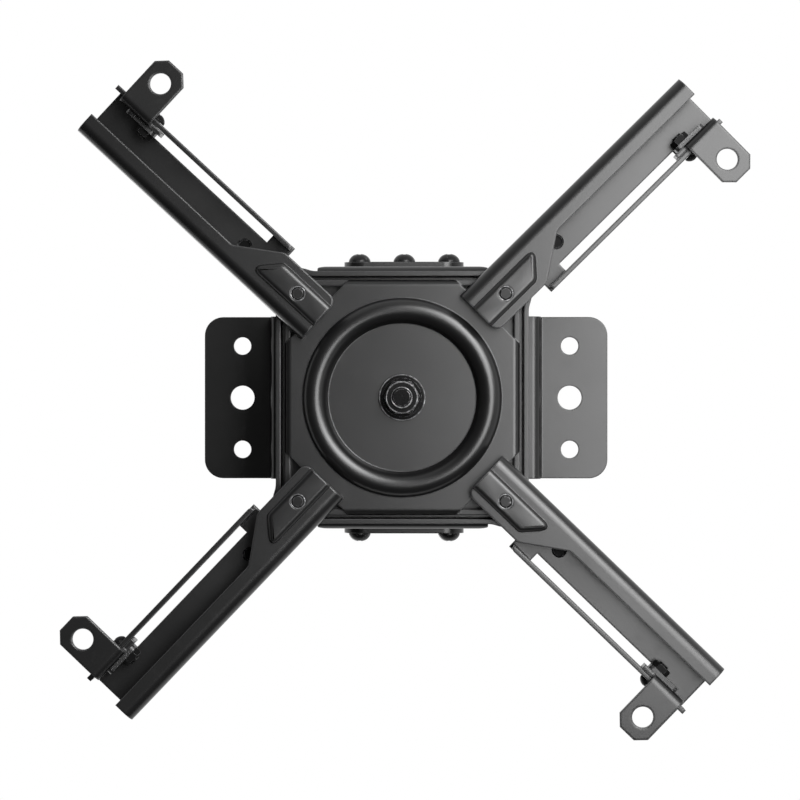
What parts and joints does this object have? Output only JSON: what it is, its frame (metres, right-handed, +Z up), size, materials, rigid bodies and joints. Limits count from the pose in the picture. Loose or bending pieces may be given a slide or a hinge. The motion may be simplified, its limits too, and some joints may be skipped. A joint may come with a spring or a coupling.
{
  "type": "projector ceiling mount",
  "caption": "Black steel ceiling mount for a projector, with a tilting yoke, a swivelling square hub and swinging slotted arms with sliding end tabs.",
  "frame": {"origin": "centre of the ceiling bracket's top face, in the plane that meets the ceiling", "axes": "+Z up into the ceiling, +X from ear to ear of the bracket, +Y along the tilt pivot"},
  "size_m": [0.2748, 0.2706, 0.1124],
  "materials": {
    "black_coat": "satin black powder coat",
    "black_hardware": "black zinc, slightly glossy",
    "zinc": "zinc plated",
    "black_nylon": "matt"
  },
  "bodies": {
    "ceiling": {"ceiling_bracket": "black_coat", "tilt_pivot_screw": "black_hardware", "tilt_pivot_nut": "black_hardware", "tilt_flush_screw": "black_hardware", "tilt_flush_nut": "black_hardware"},
    "yoke": {"tilt_yoke": "black_coat", "lock_screw_rear_left": "black_hardware", "lock_screw_rear_right": "black_hardware", "lock_screw_front_left": "black_hardware", "lock_screw_front_right": "black_hardware", "lock_nut_rear_left": "black_hardware", "lock_nut_rear_right": "black_hardware", "lock_nut_front_left": "black_hardware", "lock_nut_front_right": "black_hardware", "swivel_bolt": "black_hardware", "friction_disc": "black_nylon", "swivel_washer": "black_hardware", "swivel_nut": "black_hardware"},
    "hub": {"hub_pan": "black_coat", "hub_tray": "black_coat", "hub_spacer": "zinc"},
    "arm_front_right_body": {"arm_front_right": "black_coat", "pivot_bolt_front_right": "black_hardware", "pivot_bush_front_right": "black_coat"},
    "bracket_front_right_body": {"end_bracket_front_right": "black_coat", "clamp_screw_front_right": "black_hardware", "clamp_washer_front_right": "black_hardware", "clamp_nut_front_right": "black_hardware"},
    "arm_front_left_body": {"arm_front_left": "black_coat", "pivot_bolt_front_left": "black_hardware", "pivot_bush_front_left": "black_coat"},
    "bracket_front_left_body": {"end_bracket_front_left": "black_coat", "clamp_screw_front_left": "black_hardware", "clamp_washer_front_left": "black_hardware", "clamp_nut_front_left": "black_hardware"},
    "arm_rear_left_body": {"arm_rear_left": "black_coat", "pivot_bolt_rear_left": "black_hardware", "pivot_bush_rear_left": "black_coat"},
    "bracket_rear_left_body": {"end_bracket_rear_left": "black_coat", "clamp_screw_rear_left": "black_hardware", "clamp_washer_rear_left": "black_hardware", "clamp_nut_rear_left": "black_hardware"},
    "arm_rear_right_body": {"arm_rear_right": "black_coat", "pivot_bolt_rear_right": "black_hardware", "pivot_bush_rear_right": "black_coat"},
    "bracket_rear_right_body": {"end_bracket_rear_right": "black_coat", "clamp_screw_rear_right": "black_hardware", "clamp_washer_rear_right": "black_hardware", "clamp_nut_rear_right": "black_hardware"}
  },
  "joints": [
    {"name": "tilt", "type": "hinge", "parent": "ceiling", "child": "yoke", "pos_m": [0, 0, -0.046], "axis": [0, 1, 0], "range_deg": [-15, 15]},
    {"name": "swivel", "type": "hinge", "parent": "yoke", "child": "hub", "pos_m": [0, 0, -0.09], "axis": [0, 0, 1], "continuous": true},
    {"name": "swing_front_right", "type": "hinge", "parent": "hub", "child": "arm_front_right_body", "pos_m": [0.0414, 0.0414, -0.1], "axis": [0, 0, 1], "range_deg": [-45, 45]},
    {"name": "slide_front_right", "type": "slide", "parent": "arm_front_right_body", "child": "bracket_front_right_body", "axis": [0.7206, 0.6934, 0], "range_m": [-0.058, 0.005]},
    {"name": "swing_front_left", "type": "hinge", "parent": "hub", "child": "arm_front_left_body", "pos_m": [-0.0414, 0.0414, -0.1], "axis": [0, 0, 1], "range_deg": [-45, 45]},
    {"name": "slide_front_left", "type": "slide", "parent": "arm_front_left_body", "child": "bracket_front_left_body", "axis": [-0.6909, 0.723, 0], "range_m": [-0.058, 0.005]},
    {"name": "swing_rear_left", "type": "hinge", "parent": "hub", "child": "arm_rear_left_body", "pos_m": [-0.0414, -0.0414, -0.1], "axis": [0, 0, 1], "range_deg": [-45, 45]},
    {"name": "slide_rear_left", "type": "slide", "parent": "arm_rear_left_body", "child": "bracket_rear_left_body", "axis": [-0.7325, -0.6807, 0], "range_m": [-0.058, 0.005]},
    {"name": "swing_rear_right", "type": "hinge", "parent": "hub", "child": "arm_rear_right_body", "pos_m": [0.0414, -0.0414, -0.1], "axis": [0, 0, 1], "range_deg": [-45, 45]},
    {"name": "slide_rear_right", "type": "slide", "parent": "arm_rear_right_body", "child": "bracket_rear_right_body", "axis": [0.7108, -0.7034, 0], "range_m": [-0.058, 0.005]}
  ]
}
